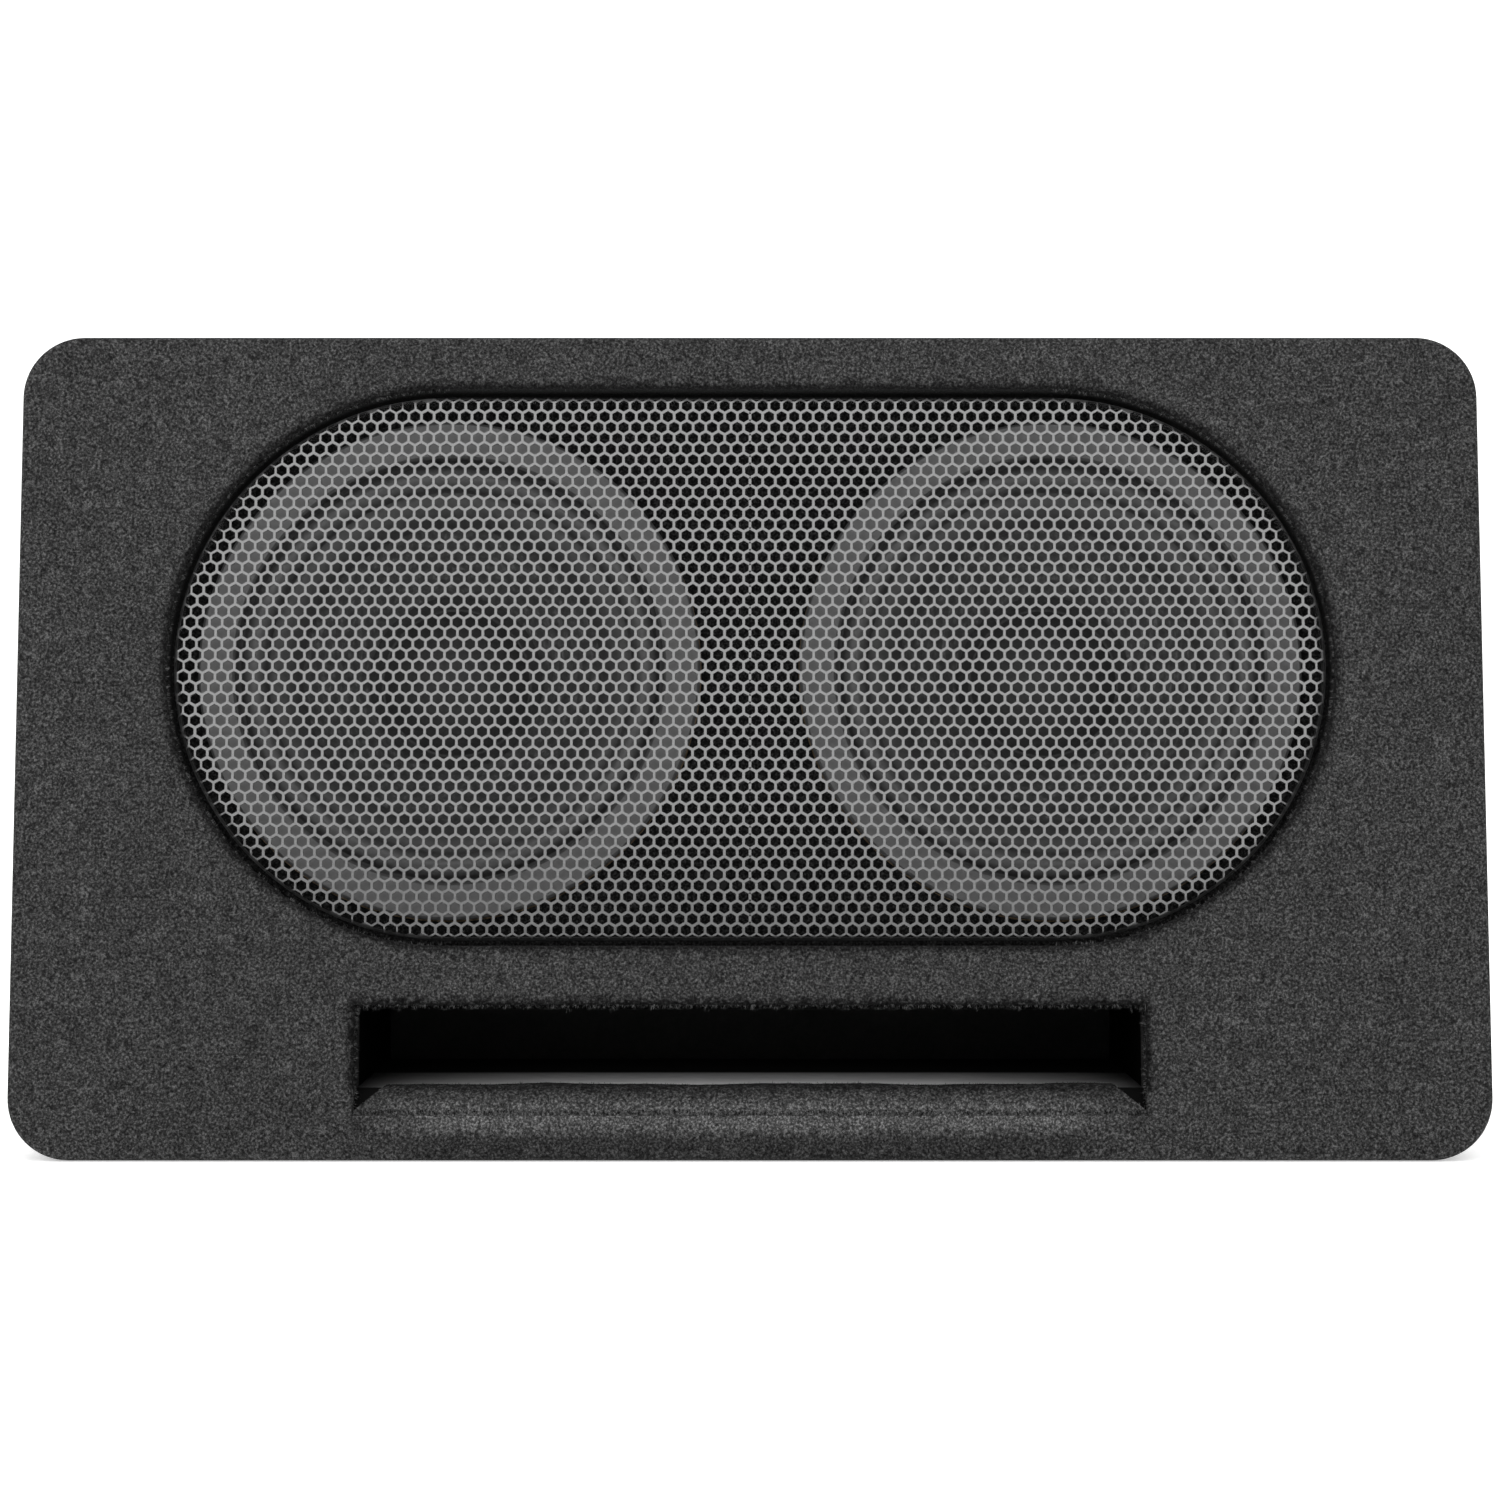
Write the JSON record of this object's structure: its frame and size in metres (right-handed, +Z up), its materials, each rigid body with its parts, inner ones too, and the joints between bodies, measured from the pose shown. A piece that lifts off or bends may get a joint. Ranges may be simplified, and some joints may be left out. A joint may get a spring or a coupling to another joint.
{
  "type": "powered car subwoofer",
  "caption": "Carpeted ported box with a leaning front, twin bass drivers behind a hexagon-mesh grille, a slot port and an amplifier plate on the back.",
  "frame": {"origin": "middle of the footprint, on the floor", "axes": "+X to the right seen from the front, the front faces -Y, +Z up"},
  "size_m": [0.6, 0.2617, 0.336],
  "materials": {
    "mdf": "plain fibreboard",
    "port_paint": "smooth dark paint on board",
    "carpet": "needle-punched felt carpet",
    "wadding": "loose polyester wadding",
    "grille_steel": "satin powder coat",
    "black_plastic": "moulded, matt",
    "black_rubber": "matt",
    "black_steel": "black coat",
    "amp_aluminium": "black anodised",
    "circuit_board": "solder mask",
    "copper_winding": "enamelled wire",
    "bright_steel": "zinc plated",
    "fuse_plastic": "tinted",
    "led_lens": "clear red",
    "pot_steel": "pressed cans",
    "surround_rubber": "satin",
    "ring_rubber": "satin",
    "spider_cloth": "resined cloth",
    "ferrite": "matt",
    "cone_paper": "pressed pulp, coated"
  },
  "bodies": {
    "cabinet": {"bottom_panel": "mdf", "top_panel": "mdf", "side_panel_left": "mdf", "side_panel_right": "mdf", "rear_panel": "mdf", "front_baffle": "mdf", "driver_board": "mdf", "port_shelf": "port_paint", "port_cheek_left": "port_paint", "port_cheek_right": "port_paint", "port_floor": "port_paint", "carpet_wrap": "carpet", "carpet_base": "carpet", "carpet_front": "carpet", "carpet_rear": "carpet", "carpet_recess": "carpet", "carpet_lip": "carpet", "damping_pad": "wadding", "grille": "grille_steel", "grille_pegs": "black_plastic", "grille_cups": "black_rubber", "driver_screws": "black_steel", "driver_terminals": "black_plastic", "amp_plate": "amp_aluminium", "amp_gasket": "black_rubber", "amp_screws": "black_steel", "amp_pcb": "circuit_board", "capacitors": "black_plastic", "transformer": "copper_winding", "power_terminals": "black_plastic", "terminal_screws": "bright_steel", "fuses": "fuse_plastic", "rca_sockets": "black_plastic", "remote_socket": "black_plastic", "power_led": "led_lens", "control_bodies": "pot_steel", "basket_left": "black_steel", "surround_left": "surround_rubber", "trim_ring_left": "ring_rubber", "spider_left": "spider_cloth", "top_plate_left": "bright_steel", "magnet_left": "ferrite", "yoke_left": "bright_steel", "basket_right": "black_steel", "surround_right": "surround_rubber", "trim_ring_right": "ring_rubber", "spider_right": "spider_cloth", "top_plate_right": "bright_steel", "magnet_right": "ferrite", "yoke_right": "bright_steel"},
    "cone_left_body": {"cone_left": "cone_paper", "dust_cap_left": "cone_paper", "voice_coil_left": "copper_winding"},
    "cone_right_body": {"cone_right": "cone_paper", "dust_cap_right": "cone_paper", "voice_coil_right": "copper_winding"},
    "gain_body": {"gain_knob": "black_plastic"},
    "lowpass_body": {"lowpass_knob": "black_plastic"},
    "boost_body": {"boost_knob": "black_plastic"},
    "phase_body": {"phase_switch": "black_plastic"}
  },
  "joints": [
    {"name": "cone_left_stroke", "type": "slide", "parent": "cabinet", "child": "cone_left_body", "axis": [0, -0.9925, 0.1219], "range_m": [-0.008, 0.008], "stiffness_N_per_m": 2600, "deforming": ["surround_left", "spider_left"]},
    {"name": "cone_right_stroke", "type": "slide", "parent": "cabinet", "child": "cone_right_body", "axis": [0, -0.9925, 0.1219], "range_m": [-0.008, 0.008], "stiffness_N_per_m": 2600, "deforming": ["surround_right", "spider_right"]},
    {"name": "gain_turn", "type": "hinge", "parent": "cabinet", "child": "gain_body", "pos_m": [0.064, 0.1205, 0.15], "axis": [0, 1, 0], "range_deg": [-150, 150]},
    {"name": "lowpass_turn", "type": "hinge", "parent": "cabinet", "child": "lowpass_body", "pos_m": [0.085, 0.1205, 0.15], "axis": [0, 1, 0], "range_deg": [-150, 150]},
    {"name": "boost_turn", "type": "hinge", "parent": "cabinet", "child": "boost_body", "pos_m": [0.106, 0.1205, 0.15], "axis": [0, 1, 0], "range_deg": [-150, 150]},
    {"name": "phase_slide", "type": "slide", "parent": "cabinet", "child": "phase_body", "axis": [1, 0, 0], "range_m": [0, 0.0036]}
  ]
}
